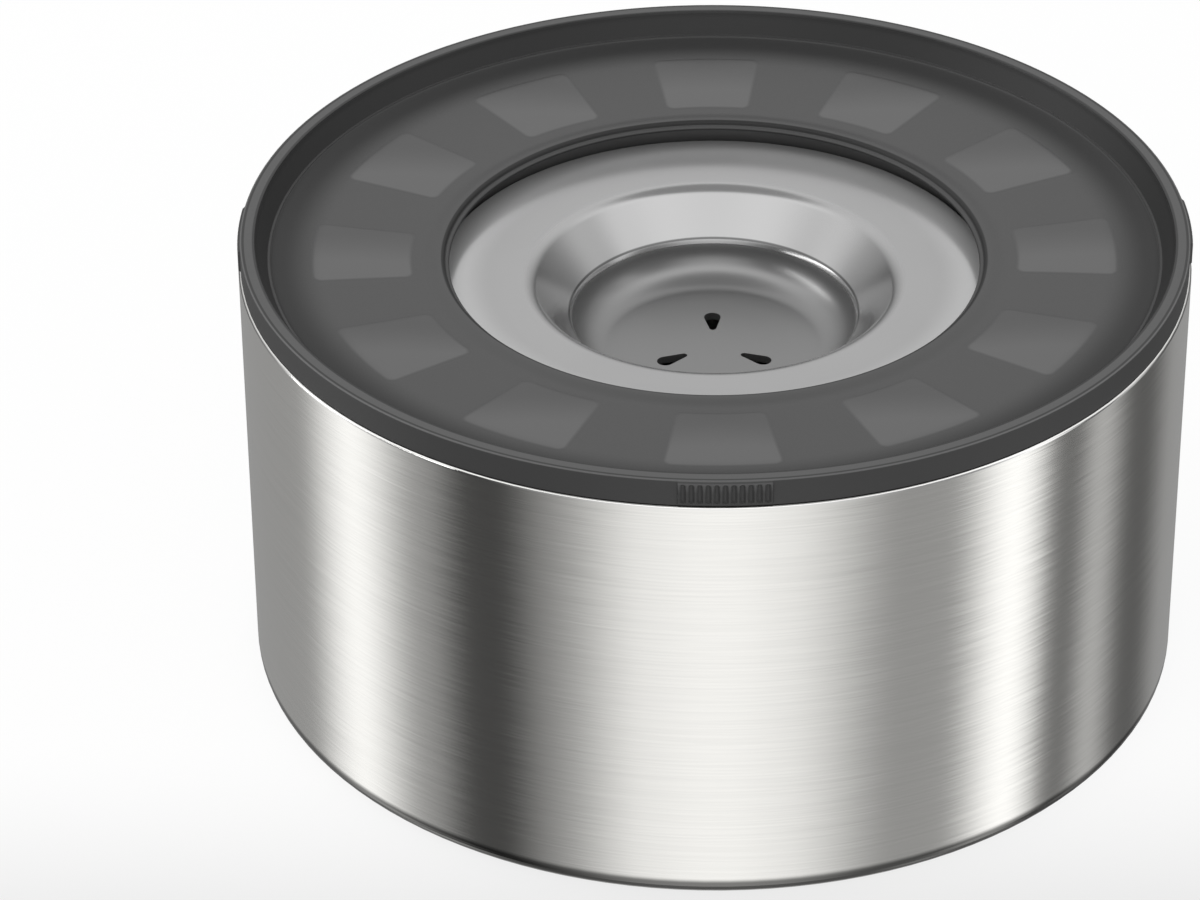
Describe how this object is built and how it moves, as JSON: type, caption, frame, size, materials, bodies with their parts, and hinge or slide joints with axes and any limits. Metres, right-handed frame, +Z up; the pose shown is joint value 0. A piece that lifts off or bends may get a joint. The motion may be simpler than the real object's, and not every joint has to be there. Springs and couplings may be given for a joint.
{
  "type": "no-spill water bowl",
  "caption": "Round double-walled steel pet water bowl with a push-in splash lid and a floating disc whose dish lets up only a little water.",
  "frame": {"origin": "centre of the base, on the table plane under the anti-slip ring", "axes": "+Z up along the bowl's axis; -Y towards the viewer, where one grip of the lid faces; +X to the viewer's right"},
  "size_m": [0.24, 0.24, 0.121],
  "materials": {
    "brushed_shell": "fine circumferential brushing, polished rim",
    "drawn_liner": "satin drawn",
    "base_silicone": "matte",
    "lid_plastic": "satin gloss",
    "seal_silicone": "translucent matte",
    "float_plastic": "fine satin"
  },
  "bodies": {
    "bowl": {"outer_shell": "brushed_shell", "inner_liner": "drawn_liner", "base_plate": "drawn_liner", "base_pad": "base_silicone"},
    "lid": {"lid_ring": "lid_plastic", "lid_seal": "seal_silicone"},
    "float": {"float_deck": "float_plastic", "float_tray": "float_plastic"}
  },
  "joints": [
    {"name": "lid_lift", "type": "slide", "parent": "bowl", "child": "lid", "axis": [0, 0, 1], "range_m": [0, 0.06]},
    {"name": "float_slide", "type": "slide", "parent": "bowl", "child": "float", "axis": [0, 0, 1], "range_m": [-0.074, 0.0045]}
  ]
}
